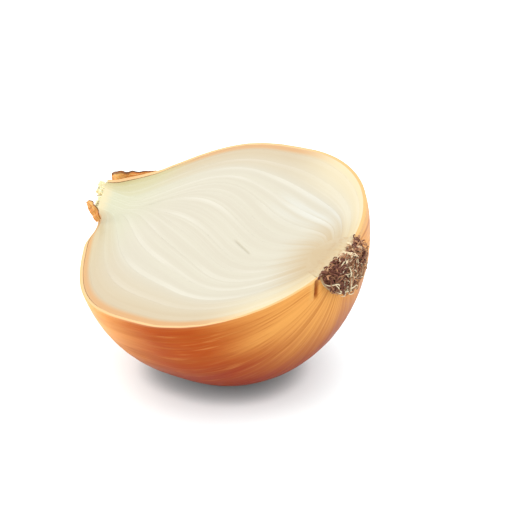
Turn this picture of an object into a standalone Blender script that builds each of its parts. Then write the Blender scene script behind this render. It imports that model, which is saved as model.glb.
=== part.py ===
"""A yellow onion cut in half from neck to root, resting on its round back.

Every piece is modelled in the onion's own frame and then tilted as one: x runs from the neck (-) to the
root (+), y across the cut face, and z stands out of the cut face. Units are metres and +Z is up.
"""

import functools
import math
import random

import bmesh
import bpy
from mathutils import Euler, Vector

# Bulb
EQUATOR_RADIUS = 0.0400
ROOT_LENGTH = 0.0372
SHOULDER_LENGTH = 0.0526
NECK_LENGTH = 0.0486
NECK_RADIUS = 0.0075
ROOT_POWER = 1.91
SHOULDER_POWER = 3.6
SHOULDER_FALL = 2.1
NECK_BLEND = 2.2

# How the growing bulb departs from a turned shape
DEPTH = 1.10
LEAN = 0.047
NECK_BEND = 0.046
NECK_SLANT = 0.52
NECK_START = 0.0380
SWELL = 0.007
SWELL_LOBES = 3
SWELL_PHASE = 0.8
CORE_LEAN = 0.55
CORE_REACH = 0.85
CORE_LEAN_NECK = 0.0380
CORE_LEAN_ROOT = 0.0280

# Layers, from the outside in
SKIN_THICKNESS = 0.0008
GAP = 0.0003
SCALE_THICKNESS = (0.0023, 0.0050, 0.0052, 0.0052, 0.0049, 0.0050, 0.0042)
NECK_WALL = 0.0006
INNER_ROOT_DROP = 0.22
INNER_SHOULDER_DROP = 0.42
END_SPACING = 0.75
TIP_FALL = 0.9

# Basal plate, the short stem that carries the scales and the roots
PLATE_X = 0.0362
PLATE_RADIUS = 0.0082
PLATE_DOME = 0.0078
PLATE_FACE = 0.0012

# Root tuft: a crust of root stumps, and the dry roots that stand out of it
TUFT_RADIUS = 0.0090
TUFT_THICKNESS = 0.0016
TUFT_EDGE_SHARE = 0.45
TUFT_STATIONS = 10
ROOT_COUNT = 42
ROOT_SPREAD = 0.0081
ROOT_RADIUS = 0.00052
ROOT_TIP_SHARE = 0.45
ROOT_LIFT = (0.0014, 0.0030)
ROOT_LEAN = (-0.0030, 0.0022)
ROOT_SWAY = 0.0050
ROOT_BEND = (0.5, 1.0)
ROOT_POINTS = 6
ROOT_SEED = 8

# Dry leaf ends at the neck
LEAF_THICKNESS = 0.0006
LEAF_CLEARANCE = 0.0013
LEAF_ROWS = 9
LEAF_COLUMNS = 4
FAR_FLAKE_X = (-0.0400, -0.0490)
FAR_FLAKE_ANGLE = math.radians(-24)
FAR_FLAKE_HEIGHT = 0.0033
FAR_FLAKE_WAVES = 3
FAR_FLAKE_WAVE = 0.0004
NEAR_FLAKE_X = (-0.0489, -0.0453)
NEAR_FLAKE_ANGLE = math.radians(183)
NEAR_FLAKE_BULGE = Vector((-0.0008, -0.0020, 0.0024))
NEAR_FLAKE_CURL = Vector((-0.0014, 0.0024, 0.0056))
TIP_BASE = ((0.0062, 0.0018), (0.0010, -0.0052))
TIP_END = ((0.0048, 0.0030), (0.0000, -0.0040))
TIP_REACH = (0.0030, 0.0014)
TIP_SINK = 0.0009

# Pose on the surface
ROLL = math.radians(16.1)
PITCH = math.radians(6.0)
FLAT_DEPTH = 0.0011
PRESS_REACH = 0.0037
TURN = Euler((ROLL, -PITCH, 0.0)).to_matrix()
UP = TURN.transposed() @ Vector((0.0, 0.0, 1.0))

# Facets
DENSE_STATIONS = 240
TURN_WEIGHT = 0.010
SKIN_STATIONS = 28
SCALE_STATIONS = 28
CORE_STATIONS = 20
CORE_START = 4
SKIN_STEPS = 26
SCALE_STEPS = 10

FINISHES = {
    "skin": ((0.78, 0.36, 0.11), 0.38),
    "flesh": ((0.88, 0.85, 0.70), 0.30),
    "stem": ((0.80, 0.70, 0.48), 0.55),
    "root": ((0.24, 0.12, 0.06), 0.85),
    "dry_leaf": ((0.66, 0.36, 0.10), 0.60),
    "pale_leaf": ((0.90, 0.84, 0.58), 0.60),
}


def finish(name):
    """The material called name, made once from its colour and roughness."""
    found = bpy.data.materials.get(name)
    if found:
        return found
    colour, roughness = FINISHES[name]
    made = bpy.data.materials.new(name)
    made.use_nodes = True
    shader = made.node_tree.nodes["Principled BSDF"]
    shader.inputs["Base Color"].default_value = (*colour, 1.0)
    shader.inputs["Roughness"].default_value = roughness
    shader.inputs["Metallic"].default_value = 0.0
    return made


def smooth_step(value):
    """0 below 0, 1 above 1, and a smooth rise between."""
    t = min(max(value, 0.0), 1.0)
    return t * t * (3 - 2 * t)


def core_shift(x, depth):
    """How far a layer leans off the bulb's axis at x; depth is 0 at the skin and 1 in the middle."""
    end = CORE_LEAN_NECK if x < 0 else CORE_LEAN_ROOT
    hold = max(0.0, 1 - (x / end) ** 2) ** 1.5
    return -CORE_LEAN * smooth_step(depth / CORE_REACH) * x * hold


def grown(point, depth):
    """Carries a point of a turned layer to the uneven shape that the bulb grew into."""
    x, y, z = point
    around = math.atan2(z, y)
    middle = max(0.0, 1 - (x / NECK_LENGTH) ** 2)
    swell = 1 + SWELL * middle * math.sin(SWELL_LOBES * around + SWELL_PHASE)
    toward_neck = max(-x, 0.0) / EQUATOR_RADIUS
    slant = NECK_SLANT * smooth_step((-x - NECK_START) / (NECK_LENGTH - NECK_START))
    return Vector((
        x - slant * y,
        y * swell + LEAN * x + NECK_BEND * EQUATOR_RADIUS * toward_neck ** 3 + core_shift(x, depth),
        z * swell * DEPTH,
    ))


@functools.cache
def rest_level():
    """Height along UP of the flat spot that the skin rests on."""
    lowest = math.inf
    for i in range(DENSE_STATIONS):
        x = ROOT_LENGTH * (2 * i / DENSE_STATIONS - 1)
        radius = layer_radius(x, EQUATOR_RADIUS, NECK_RADIUS)
        for k in range(DENSE_STATIONS):
            around = -math.pi * k / DENSE_STATIONS
            place = grown((x, radius * math.cos(around), radius * math.sin(around)), 0.0)
            lowest = min(lowest, place.dot(UP))
    return lowest + FLAT_DEPTH


def natural(point, depth=0.0):
    """The grown place of a point, with the outer layers pressed flat where the onion rests."""
    place = grown(point, depth)
    cover = depth * EQUATOR_RADIUS
    floor = rest_level() + cover - FLAT_DEPTH * min(cover / PRESS_REACH, 1.0)
    return place + UP * max(floor - place.dot(UP), 0.0)


def layer_radius(x, equator, neck):
    """Radius at x of the growth layer with that radius at the equator and in the neck."""
    if x > 0:
        t = min(x / root_reach(equator), 1.0)
        return equator * math.sqrt(1 - t ** ROOT_POWER)
    t = min(-x / shoulder_reach(equator), 1.0)
    body = (1 - t ** SHOULDER_POWER) ** (SHOULDER_FALL if neck > 0 else TIP_FALL)
    thin = neck / equator
    blended = (body ** NECK_BLEND + thin ** NECK_BLEND) / (1 + thin ** NECK_BLEND)
    return equator * blended ** (1 / NECK_BLEND)


def reach(equator, full, drop):
    """Distance from the equator at which a layer closes, where the skin's layer closes at full."""
    under_skin = min(EQUATOR_RADIUS - equator, SKIN_THICKNESS + GAP)
    return full * (1 - drop * layer_depth(equator)) - END_SPACING * under_skin


def root_reach(equator):
    """Distance from the equator at which a layer would close at the root."""
    return reach(equator, ROOT_LENGTH, INNER_ROOT_DROP)


def shoulder_reach(equator):
    """Distance from the equator at which a layer's shoulders would close."""
    return reach(equator, SHOULDER_LENGTH, INNER_SHOULDER_DROP)


def plate_depth(x, radius, margin=GAP):
    """Below 0 inside the basal plate grown by margin, and above 0 outside it."""
    length = PLATE_DOME if x < PLATE_X else PLATE_FACE
    return math.hypot((x - PLATE_X) / (length + margin), radius / (PLATE_RADIUS + margin)) - 1


def layer_curve(equator, neck):
    """Points (x, radius) of a layer from the neck end, or its closed tip, to the basal plate."""
    start = -NECK_LENGTH if neck > 0 else -shoulder_reach(equator)
    end = root_reach(equator)
    points = []
    for i in range(DENSE_STATIONS + 1):
        turn = math.pi * i / DENSE_STATIONS
        x = (start + end) / 2 - (end - start) / 2 * math.cos(turn)
        radius = layer_radius(x, equator, neck)
        if x > 0 and plate_depth(x, radius) < 0:
            break
        points.append(Vector((x, radius)))
    return points


def outward_normals(points):
    """Unit normals of a curve that runs from neck to root, pointing away from the axis."""
    normals = []
    for i in range(len(points)):
        along = points[min(i + 1, len(points) - 1)] - points[max(i - 1, 0)]
        normals.append(Vector((-along.y, along.x)).normalized())
    return normals


def offset_curve(points, distance):
    """The curve moved along its normals, and kept off the far side of the axis."""
    moved = [p + n * distance for p, n in zip(points, outward_normals(points))]
    return [Vector((p.x, max(p.y, 0.0))) for p in moved]


def resample(points, count):
    """count points along the curve, closer together where it turns."""
    reached = [0.0]
    for i in range(1, len(points)):
        step = points[i] - points[i - 1]
        turn = 0.0
        if i + 1 < len(points):
            turn = abs(step.angle_signed(points[i + 1] - points[i], 0.0))
        reached.append(reached[-1] + step.length + TURN_WEIGHT * turn)
    picked = []
    i = 1
    for k in range(count):
        want = reached[-1] * k / (count - 1)
        while i < len(points) - 1 and reached[i] < want:
            i += 1
        share = (want - reached[i - 1]) / (reached[i] - reached[i - 1])
        picked.append(points[i - 1].lerp(points[i], min(max(share, 0.0), 1.0)))
    return picked


def new_object(name, mesh, slot, parent):
    """Links a mesh into the scene under parent, with its material and smooth shading."""
    made = bpy.data.objects.new(name, mesh)
    bpy.context.scene.collection.objects.link(made)
    made.parent = parent
    mesh.materials.clear()
    mesh.materials.append(finish(slot))
    mesh.shade_smooth()
    mesh.set_sharp_from_angle(angle=math.radians(40))
    return made


def to_mesh(shape, name):
    """Turns a bmesh into a mesh with its faces pointing out."""
    bmesh.ops.recalc_face_normals(shape, faces=shape.faces)
    mesh = bpy.data.meshes.new(name)
    shape.to_mesh(mesh)
    shape.free()
    return mesh


def half_ring(outer, inner, steps, depths=(0.0, 0.0)):
    """Spins the strip between two curves half a turn, through the back of the onion.

    depths says how deep in the bulb the two curves lie, from 0 at the skin to 1 in the middle.
    """
    shape = bmesh.new()
    depth = shape.verts.layers.float.new("depth")
    rows = []
    for curve, level in zip((outer, inner), depths):
        row = [shape.verts.new((p.x, p.y, 0.0)) for p in curve]
        for vert in row:
            vert[depth] = level
        rows.append(row)
    for i in range(len(outer) - 1):
        shape.faces.new((rows[0][i], rows[0][i + 1], rows[1][i + 1], rows[1][i]))
    everything = shape.verts[:] + shape.edges[:] + shape.faces[:]
    bmesh.ops.spin(shape, geom=everything, cent=(0, 0, 0), axis=(1, 0, 0), angle=-math.pi, steps=steps)
    bmesh.ops.remove_doubles(shape, verts=shape.verts, dist=1e-6)
    for vert in shape.verts:
        vert.co = natural(vert.co, vert[depth])
    shape.verts.layers.float.remove(depth)
    return shape


def add_skin(onion):
    """The dry papery skin: one thin shell, open at the neck and at the basal plate."""
    curve = resample(layer_curve(EQUATOR_RADIUS, NECK_RADIUS), SKIN_STATIONS)
    inside = offset_curve(curve, -SKIN_THICKNESS)
    shape = half_ring(curve, inside, SKIN_STEPS, (0.0, SKIN_THICKNESS / EQUATOR_RADIUS))
    return new_object("skin", to_mesh(shape, "skin"), "skin", onion)


def layer_sizes():
    """The radius at the equator and in the neck of each fleshy layer's outside, down to the bud's."""
    equator = EQUATOR_RADIUS - SKIN_THICKNESS - GAP
    neck = NECK_RADIUS - SKIN_THICKNESS - GAP
    sizes = [(equator, neck)]
    for thickness in SCALE_THICKNESS:
        equator -= thickness + GAP
        neck -= NECK_WALL + GAP
        sizes.append((equator, neck if neck > NECK_WALL else 0.0))
    return sizes


def layer_depth(equator):
    """0 for the skin's layer and 1 for a layer with no radius left."""
    return 1 - equator / EQUATOR_RADIUS


def close_on_axis(points):
    """Starts a closed layer's inner curve at the neck end, along the axis."""
    return [Vector((-NECK_LENGTH, 0.0))] + [Vector((points[0].x, 0.0))] + points[1:]


def scale_grid(number):
    """Stations and steps of a scale. The outermost has the skin's, so that both keep one flat spot."""
    if number == 0:
        return SKIN_STATIONS, SKIN_STEPS
    return (SCALE_STATIONS if number < CORE_START else CORE_STATIONS), SCALE_STEPS


def add_scales(onion):
    """The fleshy scales, each a half shell round the next."""
    sizes = layer_sizes()
    for i in range(len(SCALE_THICKNESS)):
        outer = layer_curve(*sizes[i])
        inner = offset_curve(layer_curve(*sizes[i + 1]), GAP)
        if sizes[i][1] > 0 and sizes[i + 1][1] == 0:
            inner = close_on_axis(inner)
        stations, steps = scale_grid(i)
        depths = (layer_depth(sizes[i][0]), layer_depth(sizes[i + 1][0] + GAP))
        shape = half_ring(resample(outer, stations), resample(inner, stations), steps, depths)
        name = f"scale_{i + 1}"
        new_object(name, to_mesh(shape, name), "flesh", onion)


def add_bud(onion):
    """The closed growing point in the middle of the scales."""
    size = layer_sizes()[-1]
    clear = PLATE_X - PLATE_DOME - GAP
    outer = resample([p for p in layer_curve(*size) if p.x < clear], CORE_STATIONS)
    axis = [Vector((p.x, 0.0)) for p in outer]
    shape = half_ring(outer, axis, SCALE_STEPS, (layer_depth(size[0]),) * 2)
    new_object("bud", to_mesh(shape, "bud"), "flesh", onion)


def plate_curve():
    """Points (x, radius) of the basal plate, from its inner dome to its root face."""
    points = []
    for i in range(CORE_STATIONS):
        turn = math.pi * i / (CORE_STATIONS - 1)
        length = PLATE_DOME if turn < math.pi / 2 else PLATE_FACE
        points.append(Vector((PLATE_X - length * math.cos(turn), PLATE_RADIUS * math.sin(turn))))
    return points


def add_basal_plate(onion):
    """The stem that the scales and the roots grow from."""
    outer = plate_curve()
    axis = [Vector((p.x, 0.0)) for p in outer]
    shape = half_ring(outer, axis, SCALE_STEPS)
    new_object("basal_plate", to_mesh(shape, "basal_plate"), "stem", onion)


def root_surface_x(radius):
    """How far towards the root the bulb reaches at that radius, before its natural unevenness."""
    bulb = root_reach(EQUATOR_RADIUS) * (1 - (radius / EQUATOR_RADIUS) ** 2) ** (1 / ROOT_POWER)
    plate = 0.0
    if radius < PLATE_RADIUS:
        plate = PLATE_X + PLATE_FACE * math.sqrt(1 - (radius / PLATE_RADIUS) ** 2)
    return max(bulb, plate)


def add_root_tuft(onion):
    """A crust of root stumps on the basal plate, fused with the dry roots that curl out of it."""
    back, front = [], []
    for i in range(TUFT_STATIONS):
        share = i / (TUFT_STATIONS - 1)
        radius = TUFT_RADIUS * share
        rest = root_surface_x(radius) + 2 * GAP
        thickness = TUFT_THICKNESS * (1 - (1 - TUFT_EDGE_SHARE) * share ** 2)
        back.append(Vector((rest, radius)))
        front.append(Vector((rest + thickness, radius)))
    shape = half_ring(front, back, SCALE_STEPS)
    tuft = new_object("root_tuft", to_mesh(shape, "root_tuft"), "root", onion)
    fuse(tuft, [root_strand(random.Random(ROOT_SEED + k), k) for k in range(ROOT_COUNT)])
    return tuft


def root_strand(draw, number):
    """One dry root: a tapered tube that rises out of the crust, bends over and lies down."""
    golden_angle = math.pi * (3 - math.sqrt(5))
    radius = ROOT_SPREAD * math.sqrt((number + 0.5) / ROOT_COUNT)
    around = -((number * golden_angle) % math.pi)
    start_x = root_surface_x(radius) + TUFT_THICKNESS / 2
    lift = draw.uniform(*ROOT_LIFT)
    lean = draw.uniform(*ROOT_LEAN)
    sway = draw.uniform(-ROOT_SWAY, ROOT_SWAY)
    bend = draw.uniform(*ROOT_BEND)
    points = []
    for i in range(ROOT_POINTS):
        t = i / (ROOT_POINTS - 1)
        reached = max(radius + lean * t ** 1.5, ROOT_RADIUS)
        resting = root_surface_x(reached) + 3 * GAP + ROOT_RADIUS
        x = max(start_x + lift * math.sin(math.pi * bend * t), resting) if i else start_x
        turned = around + sway * t / max(reached, 4 * ROOT_RADIUS)
        points.append(Vector((x, reached * math.cos(turned), reached * math.sin(turned))))
    return tube(f"strand_{number}", points, ROOT_RADIUS * draw.uniform(0.8, 1.2))


def tube(name, points, radius):
    """A closed tube along points, thinner towards its end."""
    curve = bpy.data.curves.new(name, "CURVE")
    curve.dimensions = "3D"
    curve.bevel_depth = radius
    curve.bevel_resolution = 0
    curve.use_fill_caps = True
    spline = curve.splines.new("POLY")
    spline.points.add(len(points) - 1)
    for i, point in enumerate(points):
        spline.points[i].co = (*natural(point), 1.0)
        spline.points[i].radius = 1 - (1 - ROOT_TIP_SHARE) * i / (len(points) - 1)
    carrier = bpy.data.objects.new(name, curve)
    bpy.context.scene.collection.objects.link(carrier)
    bpy.context.view_layer.update()
    graph = bpy.context.evaluated_depsgraph_get()
    mesh = bpy.data.meshes.new_from_object(carrier.evaluated_get(graph))
    bpy.data.objects.remove(carrier)
    shape = bmesh.new()
    shape.from_mesh(mesh)
    bmesh.ops.remove_doubles(shape, verts=shape.verts, dist=1e-6)
    bpy.data.meshes.remove(mesh)
    return to_mesh(shape, name)


def fuse(base, meshes):
    """Joins meshes to base in one Boolean union, and removes them."""
    group = bpy.data.collections.new(base.name + "_pieces")
    bpy.context.scene.collection.children.link(group)
    for mesh in meshes:
        piece = bpy.data.objects.new(mesh.name, mesh)
        piece.parent = base.parent
        group.objects.link(piece)
    union = base.modifiers.new("union", "BOOLEAN")
    union.operation = "UNION"
    union.operand_type = "COLLECTION"
    union.collection = group
    union.solver = "MANIFOLD"
    bpy.context.view_layer.update()
    graph = bpy.context.evaluated_depsgraph_get()
    joined = bpy.data.meshes.new_from_object(base.evaluated_get(graph))
    base.modifiers.clear()
    base.data = joined
    for piece in list(group.objects):
        bpy.data.objects.remove(piece)
    bpy.data.collections.remove(group)
    drop_pockets(base.data)


def drop_pockets(mesh):
    """Removes the small pockets that a union leaves shut in between crossing strands."""
    shape = bmesh.new()
    shape.from_mesh(mesh)
    unseen = set(shape.verts)
    islands = []
    while unseen:
        island = []
        front = [unseen.pop()]
        while front:
            vert = front.pop()
            island.append(vert)
            linked = [edge.other_vert(vert) for edge in vert.link_edges]
            fresh = [other for other in linked if other in unseen]
            unseen.difference_update(fresh)
            front.extend(fresh)
        islands.append(island)
    islands.sort(key=len)
    for island in islands[:-1]:
        bmesh.ops.delete(shape, geom=island, context="VERTS")
    shape.to_mesh(mesh)
    shape.free()


def curved(start, bend, end):
    """LEAF_ROWS points of a quadratic Bezier curve."""
    points = []
    for i in range(LEAF_ROWS):
        t = i / (LEAF_ROWS - 1)
        points.append(start.lerp(bend, t).lerp(bend.lerp(end, t), t))
    return points


def blade(name, first_edge, second_edge, slot, onion):
    """A thin dry blade between two edges that have the same number of points."""
    shape = bmesh.new()
    rows = []
    for first, second in zip(first_edge, second_edge):
        across = [first.lerp(second, k / (LEAF_COLUMNS - 1)) for k in range(LEAF_COLUMNS)]
        rows.append([shape.verts.new(point) for point in across])
    for row, following in zip(rows, rows[1:]):
        for k in range(LEAF_COLUMNS - 1):
            shape.faces.new((row[k], row[k + 1], following[k + 1], following[k]))
    made = new_object(name, to_mesh(shape, name), slot, onion)
    wall = made.modifiers.new("wall", "SOLIDIFY")
    wall.thickness = LEAF_THICKNESS
    wall.offset = 0.0
    return made


def neck_point(x, around):
    """A point clear of the skin at x along the neck, at an angle round it."""
    radius = layer_radius(max(x, -NECK_LENGTH), EQUATOR_RADIUS, NECK_RADIUS) + LEAF_CLEARANCE
    return natural(Vector((x, radius * math.cos(around), radius * math.sin(around))))


def add_far_flake(onion):
    """The torn skin end that hugs the far side of the neck and stands up above the cut."""
    low, high = [], []
    for i in range(LEAF_ROWS):
        t = i / (LEAF_ROWS - 1)
        x = FAR_FLAKE_X[0] + (FAR_FLAKE_X[1] - FAR_FLAKE_X[0]) * t
        low.append(neck_point(x, FAR_FLAKE_ANGLE))
        wave = FAR_FLAKE_WAVE * t * math.sin(2 * math.pi * FAR_FLAKE_WAVES * t)
        crest = FAR_FLAKE_HEIGHT * t + wave
        high.append(neck_point(x, 0.0) + Vector((0.0, 0.3 * crest, crest)))
    return blade("neck_flake_far", low, high, "dry_leaf", onion)


def add_near_flake(onion):
    """The curl of skin that peels off the near side of the neck and leans in over the cut."""
    edges = []
    for x in NEAR_FLAKE_X:
        foot = neck_point(x, NEAR_FLAKE_ANGLE)
        edges.append(curved(foot, foot + NEAR_FLAKE_BULGE, foot + NEAR_FLAKE_CURL))
    return blade("neck_flake_near", *edges, "dry_leaf", onion)


def add_neck_tips(onion):
    """The pale dried ends of the inner leaves, which stand out of the torn end of the neck."""
    for i, (base, end, reach) in enumerate(zip(TIP_BASE, TIP_END, TIP_REACH)):
        edges = []
        for start_y, end_y in zip(base, end):
            start_x = -NECK_LENGTH - 2 * GAP
            start = natural(Vector((start_x, start_y, -TIP_SINK)))
            finish_point = natural(Vector((start_x - reach, end_y, -TIP_SINK)))
            middle = natural(Vector((start_x - reach / 2, start_y, -2 * TIP_SINK)))
            edges.append(curved(start, middle, finish_point))
        blade(f"neck_tip_{i + 1}", *edges, "pale_leaf", onion)


def stand_on_surface(onion):
    """Moves the tilted onion so that its box stands on z = 0 with its middle over the origin."""
    bpy.context.view_layer.update()
    graph = bpy.context.evaluated_depsgraph_get()
    low = Vector((math.inf,) * 3)
    high = Vector((-math.inf,) * 3)
    for piece in onion.children:
        evaluated = piece.evaluated_get(graph)
        mesh = evaluated.to_mesh()
        for vert in mesh.vertices:
            point = evaluated.matrix_world @ vert.co
            low = Vector(map(min, low, point))
            high = Vector(map(max, high, point))
        evaluated.to_mesh_clear()
    onion.location = (-(low.x + high.x) / 2, -(low.y + high.y) / 2, -low.z)


def main():
    for old in list(bpy.data.objects):
        bpy.data.objects.remove(old)
    onion = bpy.data.objects.new("onion", None)
    bpy.context.scene.collection.objects.link(onion)
    onion.rotation_euler = TURN.to_euler()
    add_skin(onion)
    add_scales(onion)
    add_bud(onion)
    add_basal_plate(onion)
    add_root_tuft(onion)
    add_far_flake(onion)
    add_near_flake(onion)
    add_neck_tips(onion)
    stand_on_surface(onion)


main()
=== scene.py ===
"""Looks of the halved yellow onion: its papery skin, juicy scales, root tuft and torn neck, dressed over the
solids of the part, with a plain floor, soft lights and the camera.

The onion's own frame has x from the neck (-) to the root (+), y across the cut face and z out of it. Pieces
are made there and then set down in the part's frame. Units are metres.
"""
import functools
import logging
import math
import random
from dataclasses import dataclass
from enum import Enum
from typing import Callable, Sequence

import bmesh
import bpy
from mathutils import Euler, Matrix, Vector, noise


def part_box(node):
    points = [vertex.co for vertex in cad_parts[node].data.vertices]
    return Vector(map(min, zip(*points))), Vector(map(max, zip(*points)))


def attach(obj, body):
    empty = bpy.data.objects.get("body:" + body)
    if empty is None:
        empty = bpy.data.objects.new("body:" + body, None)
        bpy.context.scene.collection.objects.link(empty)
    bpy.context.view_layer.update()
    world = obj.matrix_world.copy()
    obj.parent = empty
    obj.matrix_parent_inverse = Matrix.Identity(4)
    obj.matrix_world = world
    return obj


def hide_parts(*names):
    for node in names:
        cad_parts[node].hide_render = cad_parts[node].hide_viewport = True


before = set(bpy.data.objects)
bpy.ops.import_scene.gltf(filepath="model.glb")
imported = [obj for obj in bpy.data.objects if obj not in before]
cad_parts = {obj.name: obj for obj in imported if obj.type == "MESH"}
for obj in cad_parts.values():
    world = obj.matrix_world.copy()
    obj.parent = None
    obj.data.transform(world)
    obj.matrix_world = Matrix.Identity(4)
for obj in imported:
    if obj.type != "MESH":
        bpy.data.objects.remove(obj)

LOG = logging.getLogger("onion")
BODY = "root"
MM = 0.001
EXPOSURE_SHARE = 0.605
NOISE_SEED = 2
GOLDEN_ANGLE = math.pi * (3 - math.sqrt(5))
AT_CUT = 1e-7
AT_AXIS = 1e-6
AT_OUTSIDE = 0.99

Curve = list[Vector]
Colour = tuple[float, float, float]
Relief = Callable[[Vector, float, float], float]
Edge = Callable[[float], Vector]
Shape = bmesh.types.BMesh
Layer = bmesh.types.BMLayerItem
Piece = bpy.types.Object
Material = bpy.types.Material
Socket = bpy.types.NodeSocket
Feed = Socket | float | Sequence[float]


class Slot(Enum):
    """The record's material slots."""

    SKIN = "skin"
    FLESH = "flesh"
    STEM = "stem"
    ROOT = "root"
    DRY_LEAF = "dry_leaf"
    PALE_LEAF = "pale_leaf"


def smooth_step(value: float) -> float:
    """A smooth rise from 0 at 0 to 1 at 1."""
    t = min(max(value, 0.0), 1.0)
    return t * t * (3 - 2 * t)


def painted(red: int, green: int, blue: int, share: float = EXPOSURE_SHARE) -> Colour:
    """Turns a colour, 0 to 255 a channel, into the linear one that shaders take.

    The studio's light from above is stronger than white, so that its floor is white. What faces up is
    darker by that share.

    Args:
        red: the first channel.
        green: the second.
        blue: the third.
        share: how much darker the paint is than it looks.

    Returns:
        The linear colour.
    """
    def linear(value: int) -> float:
        """The linear value of one sRGB channel."""
        part = value / 255
        return part / 12.92 if part <= 0.04045 else ((part + 0.055) / 1.055) ** 2.4

    return tuple(share * linear(value) for value in (red, green, blue))


@dataclass(frozen=True)
class BulbForm:
    """How the bulb and its layers grew. The sizes are those of the part's solids."""

    equator_radius: float = 0.0400
    root_length: float = 0.0372
    shoulder_length: float = 0.0526
    neck_length: float = 0.0486
    neck_radius: float = 0.0075
    root_power: float = 1.91
    shoulder_power: float = 3.6
    shoulder_fall: float = 2.1
    tip_fall: float = 0.9
    neck_blend: float = 2.2
    depth: float = 1.10
    lean: float = 0.047
    neck_bend: float = 0.046
    neck_slant: float = 0.52
    neck_start: float = 0.0380
    swell: float = 0.007
    swell_lobes: int = 3
    swell_phase: float = 0.8
    core_lean: float = 0.55
    core_reach: float = 0.85
    core_lean_neck: float = 0.0380
    core_lean_root: float = 0.0280
    skin_thickness: float = 0.0008
    gap: float = 0.0003
    scale_thickness: tuple[float, ...] = (0.0023, 0.0050, 0.0052, 0.0052, 0.0049, 0.0050, 0.0042)
    neck_wall: float = 0.0006
    inner_root_drop: float = 0.22
    inner_shoulder_drop: float = 0.42
    end_spacing: float = 0.75
    plate_x: float = 0.0362
    plate_radius: float = 0.0082
    plate_dome: float = 0.0078
    plate_face: float = 0.0012
    roll: float = math.radians(16.1)
    pitch: float = math.radians(6.0)
    flat_depth: float = 0.0011
    press_reach: float = 0.0037
    stations: int = 320
    box_stations: int = 60
    turn_weight: float = 0.010

    @functools.cached_property
    def turn(self) -> Matrix:
        """The tilt of the onion on the surface."""
        return Euler((self.roll, -self.pitch, 0.0)).to_matrix()

    @functools.cached_property
    def up(self) -> Vector:
        """The world's up, in the onion's frame."""
        return self.turn.transposed() @ Vector((0.0, 0.0, 1.0))

    @functools.cached_property
    def rest_level(self) -> float:
        """Height along up of the flat spot that the skin rests on.

        Returns:
            The height, in the onion's frame.
        """
        lowest = math.inf
        for i in range(self.stations):
            x = self.root_length * (2 * i / self.stations - 1)
            radius = self.layer_radius(x, self.equator_radius, self.neck_radius)
            for k in range(0, self.stations, 2):
                around = -math.pi * k / self.stations
                point = Vector((x, radius * math.cos(around), radius * math.sin(around)))
                lowest = min(lowest, self.grown(point, 0.0).dot(self.up))
        return lowest + self.flat_depth

    @functools.cached_property
    def place(self) -> Vector:
        """Where the onion's origin stands in the part's frame, found from the box of the solid skin.

        Returns:
            The origin's place.
        """
        low, high = (Vector((math.inf,) * 3), Vector((-math.inf,) * 3))
        curve = self.resample(self.layer_curve(self.equator_radius, self.neck_radius), self.box_stations)
        for point in curve:
            for k in range(self.box_stations + 1):
                around = -math.pi * k / self.box_stations
                turned = Vector((point.x, point.y * math.cos(around), point.y * math.sin(around)))
                spot = self.turn @ self.natural(turned)
                low = Vector(map(min, low, spot))
                high = Vector(map(max, high, spot))
        first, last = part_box("skin")
        middle = (first + last - low - high) / 2
        return Vector((middle.x, middle.y, -self.rest_level))

    def core_shift(self, x: float, depth: float) -> float:
        """How far a layer leans off the axis at x; depth is 0 at the skin and 1 in the middle.

        Args:
            x: the place along the axis.
            depth: the layer's depth.

        Returns:
            The shift along y.
        """
        end = self.core_lean_neck if x < 0 else self.core_lean_root
        hold = max(0.0, 1 - (x / end) ** 2) ** 1.5
        return -self.core_lean * smooth_step(depth / self.core_reach) * x * hold

    def grown(self, point: Vector, depth: float) -> Vector:
        """Carries a point of a turned layer to the uneven shape that the bulb grew into.

        Args:
            point: the point.
            depth: its layer's depth, 0 at the skin and 1 in the middle.

        Returns:
            The grown place, in the onion's frame.
        """
        x, y, z = point
        middle = max(0.0, 1 - (x / self.neck_length) ** 2)
        swell = 1 + self.swell * middle * math.sin(self.swell_lobes * math.atan2(z, y) + self.swell_phase)
        bend = self.neck_bend * self.equator_radius * (max(-x, 0.0) / self.equator_radius) ** 3
        slant = self.neck_slant * smooth_step((-x - self.neck_start) / (self.neck_length - self.neck_start))
        return Vector((
            x - slant * y,
            y * swell + self.lean * x + bend + self.core_shift(x, depth),
            z * swell * self.depth,
        ))

    def natural(self, point: Vector, depth: float = 0.0) -> Vector:
        """The grown place of a point, with the outer layers pressed flat where the onion rests.

        Args:
            point: the point of a turned layer.
            depth: its layer's depth.

        Returns:
            The place, in the onion's frame.
        """
        spot = self.grown(point, depth)
        cover = depth * self.equator_radius
        floor = self.rest_level + cover - self.flat_depth * min(cover / self.press_reach, 1.0)
        return spot + self.up * max(floor - spot.dot(self.up), 0.0)

    def set_down(self, spot: Vector) -> Vector:
        """Carries a point of the onion's frame into the part's frame."""
        return self.turn @ spot + self.place

    def layer_depth(self, equator: float) -> float:
        """0 for the skin's layer and 1 for a layer with no radius left."""
        return 1 - equator / self.equator_radius

    def reach(self, equator: float, full: float, drop: float) -> float:
        """Distance from the equator at which a layer closes, where the skin's layer closes at full."""
        under_skin = min(self.equator_radius - equator, self.skin_thickness + self.gap)
        return full * (1 - drop * self.layer_depth(equator)) - self.end_spacing * under_skin

    def root_reach(self, equator: float) -> float:
        """Distance from the equator at which a layer would close at the root."""
        return self.reach(equator, self.root_length, self.inner_root_drop)

    def shoulder_reach(self, equator: float) -> float:
        """Distance from the equator at which a layer's shoulders would close."""
        return self.reach(equator, self.shoulder_length, self.inner_shoulder_drop)

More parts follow.
